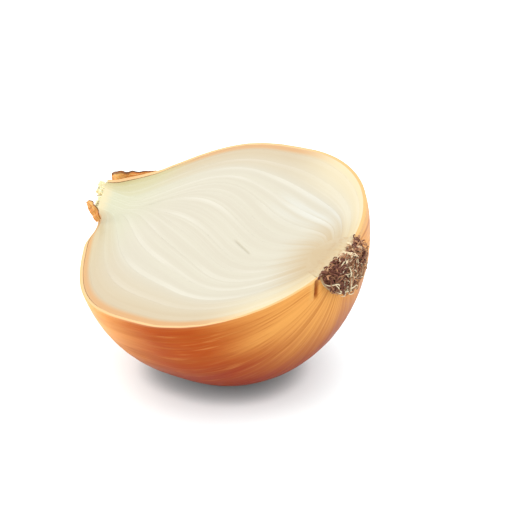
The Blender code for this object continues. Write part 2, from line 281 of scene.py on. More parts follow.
    def layer_radius(self, x: float, equator: float, neck: float) -> float:
        """Radius at x of the layer with that radius at the equator and in the neck.

        Args:
            x: the place along the axis.
            equator: the layer's radius at the equator.
            neck: its radius in the neck, or 0 for a layer that closes.

        Returns:
            The radius.
        """
        if x > 0:
            t = min(x / self.root_reach(equator), 1.0)
            return equator * math.sqrt(1 - t ** self.root_power)
        t = min(-x / self.shoulder_reach(equator), 1.0)
        body = (1 - t ** self.shoulder_power) ** (self.shoulder_fall if neck > 0 else self.tip_fall)
        thin = neck / equator
        blended = (body ** self.neck_blend + thin ** self.neck_blend) / (1 + thin ** self.neck_blend)
        return equator * blended ** (1 / self.neck_blend)

    def layer_curve(self, equator: float, neck: float) -> Curve:
        """Points (x, radius) of a layer from the neck end, or its closed tip, to the basal plate.

        Args:
            equator: the layer's radius at the equator.
            neck: its radius in the neck, or 0 for a layer that closes.

        Returns:
            The points.
        """
        start = -self.neck_length if neck > 0 else -self.shoulder_reach(equator)
        end = self.root_reach(equator)
        points = []
        for i in range(self.stations + 1):
            x = (start + end) / 2 - (end - start) / 2 * math.cos(math.pi * i / self.stations)
            radius = self.layer_radius(x, equator, neck)
            length = (self.plate_dome if x < self.plate_x else self.plate_face) + self.gap
            if x > 0 and math.hypot((x - self.plate_x) / length, radius / (self.plate_radius + self.gap)) < 1:
                break
            points.append(Vector((x, radius)))
        return points

    def plate_curve(self, count: int) -> Curve:
        """Points (x, radius) of the basal plate, from its inner dome to its root face.

        Args:
            count: how many points.

        Returns:
            The points.
        """
        points = []
        for i in range(count):
            turn = math.pi * i / (count - 1)
            length = self.plate_dome if turn < math.pi / 2 else self.plate_face
            x = self.plate_x - length * math.cos(turn)
            points.append(Vector((x, self.plate_radius * math.sin(turn))))
        return points

    def layer_sizes(self) -> list[tuple[float, float]]:
        """The radius at the equator and in the neck of each fleshy layer's outside, down to the bud's.

        Returns:
            Pairs of radii, from the outside in.
        """
        equator = self.equator_radius - self.skin_thickness - self.gap
        neck = self.neck_radius - self.skin_thickness - self.gap
        sizes = [(equator, neck)]
        for thickness in self.scale_thickness:
            equator -= thickness + self.gap
            neck -= self.neck_wall + self.gap
            sizes.append((equator, neck if neck > self.neck_wall else 0.0))
        return sizes

    def root_surface_x(self, radius: float) -> float:
        """How far towards the root the bulb reaches at that radius.

        Args:
            radius: the distance from the axis.

        Returns:
            The place along the axis.
        """
        bulb = self.root_reach(self.equator_radius) * (
            1 - min(radius / self.equator_radius, 1.0) ** 2) ** (1 / self.root_power)
        if radius >= self.plate_radius:
            return bulb
        plate = self.plate_x + self.plate_face * math.sqrt(1 - (radius / self.plate_radius) ** 2)
        return max(bulb, plate)

    def resample(self, points: Curve, count: int) -> Curve:
        """Picks count points along a curve, closer together where it turns.

        Args:
            points: the curve.
            count: how many points to pick.

        Returns:
            The picked points.
        """
        reached = [0.0]
        for i in range(1, len(points)):
            step = points[i] - points[i - 1]
            turn = 0.0
            if i + 1 < len(points):
                turn = abs(step.angle_signed(points[i + 1] - points[i], 0.0))
            reached.append(reached[-1] + step.length + self.turn_weight * turn)
        picked = []
        i = 1
        for k in range(count):
            want = reached[-1] * k / (count - 1)
            while i < len(points) - 1 and reached[i] < want:
                i += 1
            share = (want - reached[i - 1]) / (reached[i] - reached[i - 1])
            picked.append(points[i - 1].lerp(points[i], min(max(share, 0.0), 1.0)))
        return picked


def moved_along_normals(points: Curve, distance: float) -> Curve:
    """The curve moved away from the axis by distance, and kept off the axis's far side.

    Args:
        points: the curve's points (x, radius).
        distance: how far they move.

    Returns:
        The moved points.
    """
    moved = []
    for i, point in enumerate(points):
        along = points[min(i + 1, len(points) - 1)] - points[max(i - 1, 0)]
        normal = Vector((-along.y, along.x)).normalized()
        spot = point + normal * distance
        moved.append(Vector((spot.x, max(spot.y, 0.0))))
    return moved


@dataclass(frozen=True)
class Tear:
    """The tear in the skin beside the roots, in millimetres, as its relief and its finish read it; the finish
    paints a shadow down it.

    side is the direction across the tear, of y and z.
    """

    side: tuple[float, float] = (0.950, -0.311)
    shift: float = 7.41
    top: float = 2.4
    length: float = 6.4
    fade: float = 2.2
    from_x: float = 30.0


@dataclass(frozen=True)
class Slit:
    """The slim gap between the bud's folded leaves, as its relief and its painted shade read it, in
    millimetres.

    side is the direction across the gap, of x and y.
    """

    side: tuple[float, float] = (0.408, 0.913)
    shift: float = -0.12
    middle_x: float = 7.6
    half: float = 2.5


FORM = BulbForm()
TEAR = Tear()
SLIT = Slit()


class Graph:
    """Builds the nodes of one material round its Principled shader."""

    def __init__(self, name: str) -> None:
        """Starts a material.

        Args:
            name: what the material is called.
        """
        self.material = bpy.data.materials.new(name)
        self.material.use_nodes = True
        self.tree = self.material.node_tree
        self.shader = self.tree.nodes["Principled BSDF"]
        self.colour: Feed = (1.0, 1.0, 1.0)

    def feed(self, socket: Socket, value: Feed) -> None:
        """Gives an input its value.

        Args:
            socket: the input.
            value: another node's output to link to it, or a number, a colour or a vector.
        """
        if isinstance(value, Socket):
            self.tree.links.new(value, socket)
        elif socket.type == "RGBA":
            socket.default_value = (*value, 1.0)
        else:
            socket.default_value = value

    def node(self, kind: str, values: dict[int | str, Feed], **settings: str) -> bpy.types.Node:
        """Adds one node.

        Args:
            kind: its type, without the words ShaderNode.
            values: what its inputs get, by their number or name.
            **settings: its own properties, which are set first.

        Returns:
            The new node.
        """
        made = self.tree.nodes.new(f"ShaderNode{kind}")
        for name, setting in settings.items():
            setattr(made, name, setting)
        for key, value in values.items():
            self.feed(made.inputs[key], value)
        return made

    def attribute(self, name: str) -> list[Socket]:
        """The three components of the piece's own attribute called name."""
        reader = self.node("Attribute", {}, attribute_name=name)
        return list(self.node("SeparateXYZ", {0: reader.outputs["Vector"]}).outputs)

    @functools.cached_property
    def run(self) -> list[Socket]:
        """How far along, around and across its layer a point is; roots and leaves have other shares."""
        return self.attribute("run")

    @functools.cached_property
    def spot(self) -> list[Socket]:
        """A point's place in the onion's frame, in millimetres."""
        return self.attribute("spot")

    def vector(self, x: Feed, y: Feed, z: Feed = 0.0) -> Socket:
        """A vector of three components."""
        return self.node("CombineXYZ", {0: x, 1: y, 2: z}).outputs[0]

    def length(self, x: Feed, y: Feed) -> Socket:
        """The length of a vector of two components."""
        return self.node("VectorMath", {0: self.vector(x, y)}, operation="LENGTH").outputs["Value"]

    def maths(self, operation: str, first: Feed, second: Feed = 0.0) -> Socket:
        """One step of arithmetic."""
        return self.node("Math", {0: first, 1: second}, operation=operation).outputs[0]

    def plus(self, first: Feed, second: Feed) -> Socket:
        """The sum of two values."""
        return self.maths("ADD", first, second)

    def times(self, first: Feed, second: Feed) -> Socket:
        """The product of two values."""
        return self.maths("MULTIPLY", first, second)

    def scaled(self, value: Feed, by: float, plus: float = 0.0) -> Socket:
        """value times by, and something more."""
        return self.node("Math", {0: value, 1: by, 2: plus}, operation="MULTIPLY_ADD").outputs[0]

    def shaken(self, value: Feed, noise_value: Socket, reach: float) -> Socket:
        """A value that a noise moves up and down by half of reach."""
        return self.plus(value, self.scaled(noise_value, reach, -reach / 2))

    def rise(self, value: Feed, start: float, end: float, low: float = 0.0, high: Feed = 1.0) -> Socket:
        """A smooth passage from low at start to high at end."""
        values = dict(enumerate((value, start, end, low, high)))
        return self.node("MapRange", values, interpolation_type="SMOOTHSTEP").outputs[0]

    def noise(self, vector: Socket, scale: float = 1.0, detail: float = 2.0) -> Socket:
        """A noise value from 0 to 1."""
        values = {"Vector": vector, "Scale": scale, "Detail": detail, "Roughness": 0.5}
        return self.node("TexNoise", values).outputs[0]

    def streaks(self, u: Socket, per_u: float, v: Socket, per_v: float, seed: float = 0.0,
                detail: float = 2.0) -> Socket:
        """Noise that changes per_u times over u and per_v times over v."""
        return self.noise(self.vector(self.scaled(u, per_u), self.scaled(v, per_v), seed), detail=detail)

    def lines(self, phase: Feed, width: float) -> Socket:
        """1 on thin lines where phase is a whole number, and 0 between them."""
        off = self.maths("ABSOLUTE", self.scaled(self.maths("FRACT", phase), 1.0, -0.5))
        return self.rise(off, 0.5 - width, 0.5)

    def blend(self, factor: Feed, first: Feed, second: Feed) -> Socket:
        """A mix of two colours."""
        return self.node("Mix", {0: factor, 6: first, 7: second}, data_type="RGBA").outputs[2]

    def tint(self, factor: Feed, colour: Feed) -> None:
        """Lays another colour over the colour so far."""
        self.colour = self.blend(factor, self.colour, colour)

    def dress(self, roughness: Feed, **values: Feed) -> None:
        """Gives the shader the colour so far, a roughness, and values for inputs named with _ for a space."""
        for name, value in {"Base_Color": self.colour, "Roughness": roughness, **values}.items():
            self.feed(self.shader.inputs[name.replace("_", " ")], value)

    def relief(self, height: Socket, strength: float, distance: float) -> None:
        """Gives the shader a bump of that height."""
        bump = self.node("Bump", {"Strength": strength, "Distance": distance, "Height": height})
        self.feed(self.shader.inputs["Normal"], bump.outputs[0])


@dataclass(frozen=True)
class SkinFinish:
    """Dry golden onion skin: veins that fan out of the root, a redder underside darkened partly with painted
    shade, and a pale cut edge.
    """

    golden: Colour = painted(196, 136, 68, 1.0)
    orange: Colour = painted(150, 64, 14, 1.0)
    deep: Colour = painted(118, 22, 1, 1.0)
    vein: Colour = painted(140, 72, 20, 1.0)
    pale: Colour = painted(218, 156, 86, 1.0)
    rim_near: Colour = painted(244, 202, 148)
    rim_far: Colour = painted(240, 192, 128)
    tear_shadow: Colour = painted(126, 58, 4, 1.0)
    flap: Colour = painted(194, 143, 76, 1.0)

    def make(self) -> Material:
        """Makes the finish.

        Returns:
            The material.
        """
        g = Graph("papery_skin")
        along, around, _ = g.run
        broad = g.streaks(around, 14.0, along, 1.6, detail=3.0)
        fine = g.streaks(around, 90.0, along, 3.0, 5.0)
        veins = self.veins(g)
        self.zones(g, broad, fine)
        g.tint(veins, self.vein)
        stroke = g.streaks(around, 150.0, along, 9.0, 11.0)
        g.tint(g.rise(stroke, 0.55, 0.80, 0.0, 0.24), self.pale)
        g.tint(g.rise(stroke, 0.45, 0.22, 0.0, 0.35), self.deep)
        self.torn(g)
        self.cut_edge(g, fine)
        g.dress(g.rise(broad, 0.3, 0.7, 0.36, 0.48), Specular_IOR_Level=0.05)
        g.relief(g.plus(g.scaled(fine, 0.5), g.scaled(veins, -0.15)), 0.30, 0.22 * MM)
        return g.material

    def zones(self, g: Graph, broad: Socket, fine: Socket) -> None:
        """The skin's colour: golden at the root, paler towards the neck and redder underneath. The paler neck
        side is partly painted light from the left side, and the underside is partly darkened with painted
        shade.

        Args:
            g: the material's graph.
            broad: the noise that moves the borders.
            fine: the noise of thin pale streaks.
        """
        along, around, _ = g.run
        x, _, z = g.spot
        patch = g.streaks(around, 9.0, along, 4.0, 9.0)
        g.colour = g.blend(g.rise(g.shaken(x, broad, 14.0), 14.0, 36.0), self.orange, self.golden)
        # Paler towards the neck: partly the skin's own colour, partly painted light from the left side
        g.tint(g.rise(g.shaken(x, broad, 14.0), 4.0, -27.0, 0.0, 0.95), self.pale)
        # Redder and darker towards the bottom: partly the skin's own colour, partly painted shade on the
        # underside
        g.tint(g.rise(g.shaken(z, broad, 14.0), -6.0, -33.0, 0.0, 0.85), self.deep)
        g.tint(g.rise(fine, 0.52, 0.78, 0.0, 0.14), self.pale)
        g.tint(g.rise(patch, 0.55, 0.80, 0.0, 0.35), self.deep)

    def veins(self, g: Graph) -> Socket:
        """How much the veins show. They fan out of the root and fade towards the neck.

        Args:
            g: the material's graph.

        Returns:
            A share from 0 to 1.
        """
        along, around, _ = g.run
        warp = g.scaled(g.streaks(around, 8.0, along, 1.3, detail=1.0), 2.4)
        lines = g.lines(g.plus(g.scaled(around, 30.0), warp), 0.34)
        hairs = g.rise(g.streaks(around, 62.0, along, 1.4, 4.0), 0.46, 0.72)
        shown = g.rise(g.streaks(around, 16.0, along, 2.4, 2.0), 0.40, 0.68)
        near_root = g.rise(g.spot[0], -20.0, 30.0, 0.25, 0.62)
        drawn = g.scaled(g.times(g.times(lines, shown), near_root), 0.6)
        return g.maths("MAXIMUM", drawn, g.times(hairs, near_root))

    def cut_edge(self, g: Graph, fine: Socket) -> None:
        """Lightens the cut edge, and the skin just under it at the far side of the root.

        Args:
            g: the material's graph.
            fine: the noise that makes the edge uneven.
        """
        x, y, z = g.spot
        rim = g.blend(g.rise(g.plus(x, g.scaled(y, 0.3)), 8.0, 30.0), self.rim_near, self.rim_far)
        bleached = g.times(g.rise(z, -3.2, -0.4, 0.0, 0.75), g.rise(g.plus(x, y), 20.0, 42.0))
        g.tint(bleached, self.rim_far)
        paper = g.rise(g.shaken(g.run[2], fine, 0.5), 1.15, 0.60)
        g.tint(g.times(g.rise(z, -0.70, -0.15), paper), rim)

    def torn(self, g: Graph) -> None:
        """Paints a shadow down the tear beside the roots and lightens the flap next to it.

        Args:
            g: the material's graph.
        """
        x, y, z = g.spot
        off = g.plus(g.scaled(y, TEAR.side[0]), g.scaled(z, TEAR.side[1], TEAR.shift))
        down = g.plus(g.scaled(y, TEAR.side[1]), g.scaled(z, -TEAR.side[0], -TEAR.top))
        here = g.times(g.rise(down, -0.5, 0.6), g.rise(down, TEAR.length, TEAR.length - TEAR.fade))
        here = g.times(here, g.rise(x, TEAR.from_x, TEAR.from_x + 3.0))
        flap = g.rise(g.maths("ABSOLUTE", g.scaled(off, 1.0, 1.7)), 1.3, 0.2, 0.0, 0.6)
        # Painted shadow: a dark line down the middle of the tear, beside the raised flap
        slit = g.rise(g.maths("ABSOLUTE", off), 1.0, 0.25, 0.0, 0.95)
        g.tint(g.times(flap, here), self.flap)
        g.tint(g.times(slit, here), self.tear_shadow)


@dataclass(frozen=True)
class FleshFinish:
    """Moist onion flesh. On the cut face each scale shows a bright thin edge and faint drawn-out streaks, and
    a painted highlight lies towards the root on the far side.

    The shares say how much of the dried peel's and the bark's colours, and of the slit's painted shade, a
    layer takes, at its outside and, for the peel, at its inside.
    """

    next_to_skin: bool = False
    peel_share: float = 0.0
    inner_share: float = 0.0
    bark_share: float = 0.0
    slit_shade_share: float = 0.0
    flesh: Colour = painted(213, 207, 187)
    bright: Colour = painted(223, 218, 201)
    shade: Colour = painted(210, 203, 183)
    painted_highlight: Colour = painted(224, 226, 220)
    shadow: Colour = painted(176, 166, 138)
    green: Colour = painted(208, 213, 172)
    tan: Colour = painted(200, 174, 130)
    peel: Colour = painted(214, 158, 92)
    straw: Colour = painted(236, 218, 172)
    bark: Colour = painted(178, 132, 80)
    olive: Colour = painted(196, 184, 128)

    def make(self, name: str, number: int) -> Material:
        """Makes the finish of one layer.

        Args:
            name: what the material is called.
            number: the layer's number from the outside, which moves the streaks.

        Returns:
            The material.
        """
        g = Graph(name)
        along, _, across = g.run
        x, y, _ = g.spot
        streak = g.streaks(across, 2.2, along, 1.7, 3.1 * number)
        thread = g.streaks(across, 9.0, along, 2.4, 1.7 * number, 1.0)
        g.colour = g.blend(g.rise(streak, 0.36, 0.66), self.shade, self.flesh)
        g.tint(g.rise(thread, 0.52, 0.82, 0.0, 0.30), self.bright)
        edge = g.rise(g.shaken(across, thread, 0.36), 0.55, 0.95)
        shown = g.rise(g.noise(g.vector(g.scaled(along, 2.6), 1.3 * number)), 0.36, 0.66, 0.12, 0.90)
        from_middle = g.length(g.scaled(x, 0.038, -0.30), g.scaled(y, 0.065))
        shown = g.times(shown, g.rise(from_middle, 0.4, 1.1, 0.25, 1.0))
        g.tint(g.times(edge, shown), self.bright)
        # Painted highlight: a soft whitish patch on the cut face, towards the root and the far side, where
        # the lights shine on the wet flesh
        from_highlight = g.length(g.scaled(x, 0.085, -1.45), g.scaled(y, 0.15, -2.60))
        highlight_share = g.times(g.rise(from_highlight, 1.5, 0.2, 0.0, 0.55), g.rise(streak, 0.35, 0.62))
        g.tint(highlight_share, self.painted_highlight)
        self.ends(g, streak, thread)
        if self.peel_share:
            self.outermost(g)
        if self.bark_share:
            self.barked(g)
        if self.slit_shade_share:
            self.slit(g)
        g.dress(g.rise(streak, 0.35, 0.7, 0.32, 0.44), Coat_Weight=0.06, Coat_Roughness=0.24,
                Specular_IOR_Level=0.25)
        g.relief(g.plus(g.scaled(thread, 0.4), streak), 0.10, 0.3 * MM)
        return g.material

    def ends(self, g: Graph, streak: Socket, thread: Socket) -> None:
        """Tints the flesh green at the neck, straw where it is torn there and tan round the plate.

        Args:
            g: the material's graph.
            streak: the noise of broad streaks.
            thread: the noise of thin streaks.
        """
        x, y, _ = g.spot
        green = g.rise(g.shaken(x, streak, 8.0), -22.0, -46.0, 0.0, 0.50)
        g.tint(green, self.green)
        from_plate = g.shaken(g.length(g.scaled(x, 1.0, -34.0), g.scaled(y, 0.75)), streak, 8.0)
        g.tint(g.rise(from_plate, 17.0, 4.0, 0.0, 0.85), self.tan)
        from_torn = g.plus(x, g.scaled(y, FORM.neck_slant, FORM.neck_length / MM))
        from_torn = g.shaken(from_torn, thread, 4.0)
        g.tint(g.rise(from_torn, 5.5, 1.0, 0.0, 0.85), self.straw)

    def outermost(self, g: Graph) -> None:
        """Tints a scale near the skin: it dries to straw at the root end and to tan elsewhere.

        Args:
            g: the material's graph.
        """
        x, y, _ = g.spot
        across = g.run[2]
        dry = self.tan
        if self.next_to_skin:
            dry = g.blend(g.rise(across, -0.1, 0.6), self.tan, self.peel)
        off_root = g.rise(g.plus(x, g.scaled(y, 0.25)), 24.0, 4.0)
        dried = g.blend(off_root, self.straw, dry)
        at_neck = g.times(g.rise(x, -30.0, -38.0), g.rise(y, 0.0, 5.0))
        dried = g.blend(at_neck, dried, self.olive)
        g.tint(g.rise(across, -0.2, 0.7, self.inner_share, self.peel_share), dried)

    def barked(self, g: Graph) -> None:
        """Turns the plate to bark where its roots start, with specks of it before that.

        Args:
            g: the material's graph.
        """
        x = g.spot[0]
        mottle = g.noise(g.vector(*g.spot), 0.8, 3.0)
        outward = g.shaken(x, mottle, 5.0)
        specks = g.times(g.rise(mottle, 0.46, 0.60), g.rise(x, 30.0, 35.5, 0.0, 0.6))
        g.tint(specks, self.bark)
        g.tint(g.rise(outward, 32.0, 35.5, 0.0, 0.4), self.straw)
        g.tint(g.rise(outward, 35.2, 37.6, 0.0, self.bark_share), self.bark)

    def slit(self, g: Graph) -> None:
        """Paints shade into the slim gap between the bud's folded leaves.

        Args:
            g: the material's graph.
        """
        x, y, _ = g.spot
        off = g.plus(g.scaled(x, SLIT.side[0]), g.scaled(y, SLIT.side[1], -SLIT.shift))
        along = g.maths("ABSOLUTE", g.scaled(x, 1.0, -SLIT.middle_x))
        here = g.rise(along, 2 * SLIT.half, SLIT.half)
        mask = g.times(g.rise(g.maths("ABSOLUTE", off), 0.55, 0.15), here)
        g.tint(g.scaled(mask, self.slit_shade_share), self.shadow)


@dataclass(frozen=True)
class RootFinish:
    """Dry roots, from nearly black where they are packed to straw at the loose ones."""

    packed: Colour = painted(104, 44, 18)
    dry: Colour = painted(184, 128, 86)
    straw: Colour = painted(250, 230, 190)

    def make(self) -> Material:
        """Makes the finish.

        Returns:
            The material.
        """
        g = Graph("dry_roots")
        mottle = g.noise(g.vector(*g.spot), 1.6, 3.0)
        shade = g.shaken(g.run[0], mottle, 0.4)
        g.colour = g.blend(g.rise(shade, 0.05, 0.5), self.packed, self.dry)
        g.tint(g.rise(shade, 0.55, 0.9), self.straw)
        g.dress(0.78)
        g.relief(mottle, 0.5, 0.2 * MM)
        return g.material


@dataclass(frozen=True)
class LeafFinish:
    """A dried leaf end: a body colour between two edges that have dried darker."""

    name: str
    body: Colour
    glow: Colour
    edge: Colour

    def make(self) -> Material:
        """Makes the finish.

        Returns:
            The material.
        """
        g = Graph(self.name)
        along, across, _ = g.run
        fibre = g.streaks(across, 16.0, along, 2.0, detail=3.0)
        g.colour = g.blend(g.rise(fibre, 0.42, 0.64), self.body, self.glow)
        darker = g.rise(g.shaken(across, fibre, 0.4), 0.84, 0.97)
        g.tint(darker, self.edge)
        g.dress(0.5, Subsurface_Weight=0.15, Subsurface_Radius=(1.0, 0.6, 0.25),
                Subsurface_Scale=MM)
        g.relief(fibre, 0.5, 0.3 * MM)
        return g.material


GOLDEN_LEAF = LeafFinish("golden_leaf", painted(226, 130, 36), painted(255, 206, 118), painted(96, 54, 22))
PALE_LEAF = LeafFinish("pale_leaf", painted(238, 222, 160), painted(252, 246, 206), painted(226, 200, 132))


def new_grid(columns: int, rows: int) -> tuple[Shape, Layer, Layer]:
    """Starts a bmesh as a flat grid from -1 to 1.

    Args:
        columns: its faces along x.
        rows: its faces along y.

    Returns:
        The bmesh and its run and spot layers, which the finishes read.
    """
    shape = bmesh.new()
    bmesh.ops.create_grid(shape, x_segments=columns, y_segments=rows, size=1.0)
    layers = shape.verts.layers.float_vector
    return shape, layers.new("run"), layers.new("spot")


def finish_mesh(shape: Shape, name: str, material: Material, sharp: float = 50.0) -> Piece:
    """Makes a bmesh of the part's frame into an object with its faces pointing out.

    Args:
        shape: the closed bmesh, which is freed.
        name: the new object's name.
        material: its finish.
        sharp: edges that turn by more than this many degrees stay sharp.

    Returns:
        The new object, at the origin.
    """
    bmesh.ops.recalc_face_normals(shape, faces=shape.faces)
    mesh = bpy.data.meshes.new(name)
    shape.to_mesh(mesh)
    shape.free()
    mesh.materials.append(material)
    mesh.shade_smooth()
    mesh.set_sharp_from_angle(angle=math.radians(sharp))
    made = bpy.data.objects.new(name, mesh)
    bpy.context.scene.collection.objects.link(made)
    return made


def fit_piece(piece: Piece, slot: Slot, *nodes: str) -> None:
    """Fixes a piece to the onion in place of the solids that it stands for, and reports it.

    Args:
        piece: the piece.
        slot: its material slot; not used.
        *nodes: the solids.
    """
    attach(piece, BODY)
    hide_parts(*nodes)
    LOG.info("%s: %d faces, for %s", piece.name, len(piece.data.polygons), ", ".join(nodes))


@dataclass
class HalfShell:
    """Half a layer of the bulb: the strip between two curves, spun half a turn through the back.

    Its vertices carry run, which is how far along, around and across the layer they are, and spot, their
    place in the onion's frame in millimetres.
    """

    outer: Curve
    inner: Curve
    steps: int
    rows: int = 8
    depths: tuple[float, float] = (0.0, 0.0)
    swell: Relief | None = None
    lift: Relief | None = None
    dent: Callable[[Vector], float] | None = None

    def build(self) -> Shape:
        """Spins the strip and grows it.

        Returns:
            The closed shape in the part's frame.
        """
        last = len(self.outer) - 1
        shape, run, spot = new_grid(last, self.rows)
        for vert in shape.verts:
            station = round((vert.co.x + 1) / 2 * last)
            across = (1 + math.sin(math.pi / 2 * vert.co.y)) / 2
            point = self.inner[station].lerp(self.outer[station], across)
            vert[run] = (station / last, 0.0, across)
            vert.co = (point.x, point.y, 0.0)
        everything = shape.verts[:] + shape.edges[:] + shape.faces[:]
        bmesh.ops.spin(shape, geom=everything, cent=(0, 0, 0), axis=(1, 0, 0), angle=-math.pi,
                       steps=self.steps)
        bmesh.ops.remove_doubles(shape, verts=shape.verts, dist=AT_AXIS)
        for vert in shape.verts:
            self.grow(vert, run, spot)
        return shape

    def grow(self, vert: bmesh.types.BMVert, run: Layer, spot: Layer) -> None:
        """Carries one vertex of the spun strip to its place, and notes where it is.

        Args:
            vert: the vertex.
            run: the layer for how far along, around and across it is.
            spot: the layer for its place in the onion's frame.
        """
        along, _, across = vert[run]
        point = vert.co.copy()
        cut = abs(point.z) < AT_CUT
        around = 0.0 if cut and point.y >= 0 else 1.0 if cut else -math.atan2(point.z, point.y) / math.pi
        if self.swell and across > AT_OUTSIDE:
            radius = math.hypot(point.y, point.z)
            more = self.swell(point, along, around)
            if radius > AT_AXIS:
                point.y *= 1 + more / radius
                point.z *= 1 + more / radius
        depth = self.depths[1] + (self.depths[0] - self.depths[1]) * across
        place = FORM.natural(point, depth)
        if self.lift and cut:
            place.z += self.lift(place, along, across)
        if self.dent and across > AT_OUTSIDE:
            place.x += self.dent(place)
        vert[run] = (along, around, across)
        vert[spot] = place / MM
        vert.co = FORM.set_down(place)


@dataclass
class PaperySkin:
    """The dry outer skin, with broad shallow furrows and a slightly ragged cut edge."""

    stations: int = 150
    steps: int = 200
    calm_end: float = 0.12
    furrow: float = 0.16 * MM
    furrows_around: float = 11.0
    furrows_along: float = 1.3
    rib: float = 0.05 * MM
    ribs_around: float = 46.0
    ribs_along: float = 1.6
    edge_wave: float = 0.09 * MM
    edge_waves_along: float = 26.0
    tear_width: float = 0.75 * MM
    tear_depth: float = 0.60 * MM
    tear_reach: float = 4.0 * MM
    flap_height: float = 0.45 * MM
    flap_widths: float = 2.4
    grown_into_gap: float = 0.145 * MM

    def undulation(self, point: Vector, along: float, around: float) -> float:
        """How far the skin stands out at a point: furrows that run from neck to root, and finer ribs.

        Args:
            point: the point of the spun strip; not used.
            along: its share of the way from the neck to the root.
            around: its share of the half turn.

        Returns:
            The distance, away from the axis.
        """
        end = smooth_step(min(along, 1 - along) / self.calm_end)
        broad = noise.noise(Vector((around * self.furrows_around, along * self.furrows_along, 0.0)))
        fine = noise.noise(Vector((around * self.ribs_around, along * self.ribs_along, 7.0)))
        return end * (self.furrow * (broad - 0.3) + self.rib * (fine - 0.5))

    def tear(self, place: Vector) -> float:
        """How far the skin is sunk into the tear beside the roots, or stands up in the flap next to it.

        Args:
            place: a place on the skin's outside.

        Returns:
            The distance along x.
        """
        off = place.y * TEAR.side[0] + place.z * TEAR.side[1] + TEAR.shift * MM
        down = place.y * TEAR.side[1] - place.z * TEAR.side[0] - TEAR.top * MM
        if place.x < TEAR.from_x * MM or abs(off) > self.tear_reach:
            return 0.0
        here = smooth_step(down / MM + 0.5) * smooth_step((TEAR.length * MM - down) / (TEAR.fade * MM))
        slit = math.exp(-(off / self.tear_width) ** 2)
        flap = math.exp(-(off / self.tear_width + self.flap_widths) ** 2)
        return here * (self.flap_height * flap - self.tear_depth * slit)

    def edge(self, place: Vector, along: float, across: float) -> float:
        """How far the cut edge stands above the cut plane."""
        wave = noise.noise(Vector((along * self.edge_waves_along, 3.0 if place.y > 0 else 0.0, 0.0)))
        return self.edge_wave * (wave - 0.2 * (1 - across))

    def build(self) -> Piece:
        """Builds the skin in place of its solid.

        Returns:
            The dressed piece.
        """
        curve = FORM.resample(FORM.layer_curve(FORM.equator_radius, FORM.neck_radius), self.stations)
        wall = FORM.skin_thickness + self.grown_into_gap
        inside = moved_along_normals(curve, -wall)
        depths = (0.0, wall / FORM.equator_radius)
        shell = HalfShell(curve, inside, self.steps, 3, depths, self.undulation, self.edge, self.tear)
        piece = finish_mesh(shell.build(), "papery_skin", SkinFinish().make())
        fit_piece(piece, Slot.SKIN, "skin")
        return piece


@dataclass
class FleshyScales:
    """The scales inside the skin. They nearly touch, and each swells a little proud of its edges."""

    stations: int = 130
    steps: int = 64
    rows: int = 10
    grown_into_gap: float = 0.145 * MM
    crown: float = 0.015 * MM
    ripple: float = 0.035 * MM
    ripples: tuple[float, float] = (5.0, 2.2)
    peel_shares: tuple[float, ...] = (0.85, 0.55, 0.30, 0.0)

    def surface(self, number: int) -> Relief:
        """The relief of the cut face of one scale, whose number moves the ripples.

        Args:
            number: the scale's number from the outside.

        Returns:
            The relief.
        """
        def lift(place: Vector, along: float, across: float) -> float:
            """How far the cut face stands above the cut plane at a place.

            Args:
                place: the place in the onion's frame.
                along: its share of the way from the neck to the root.
                across: its share of the way from the inner curve to the outer one.

            Returns:
                The height, in metres.
            """
            side = 5.0 if place.y > 0 else 0.0
            middle = across * (1 - across)
            spot = Vector((along * self.ripples[0] + side, across * self.ripples[1], 3.3 * number))
            return self.crown * 4 * middle + self.ripple * noise.noise(spot) * min(1.0, 6 * middle)

        return lift

    def build(self) -> list[Piece]:
        """Builds the scales in place of their solids.

        Returns:
            The dressed pieces, from the outside in.
        """
        sizes = FORM.layer_sizes()
        more = self.grown_into_gap
        made = []
        for i in range(len(FORM.scale_thickness)):
            outer = moved_along_normals(FORM.layer_curve(*sizes[i]), more)
            inner = moved_along_normals(FORM.layer_curve(*sizes[i + 1]), FORM.gap - more)
            if sizes[i][1] > 0 and sizes[i + 1][1] == 0:
                inner = [Vector((-FORM.neck_length, 0.0)), Vector((inner[0].x, 0.0))] + inner[1:]
            depths = (
                FORM.layer_depth(sizes[i][0] + more),
                FORM.layer_depth(sizes[i + 1][0] + FORM.gap - more),
            )
            curves = [FORM.resample(curve, self.stations) for curve in (outer, inner)]
            shell = HalfShell(*curves, self.steps, self.rows, depths, lift=self.surface(i))
            finish = FleshFinish(i == 0, *self.peel_shares[i:i + 2]).make(f"flesh_{i + 1}", i)
            piece = finish_mesh(shell.build(), f"juicy_scale_{i + 1}", finish)
            fit_piece(piece, Slot.FLESH, f"scale_{i + 1}")
            made.append(piece)
        return made


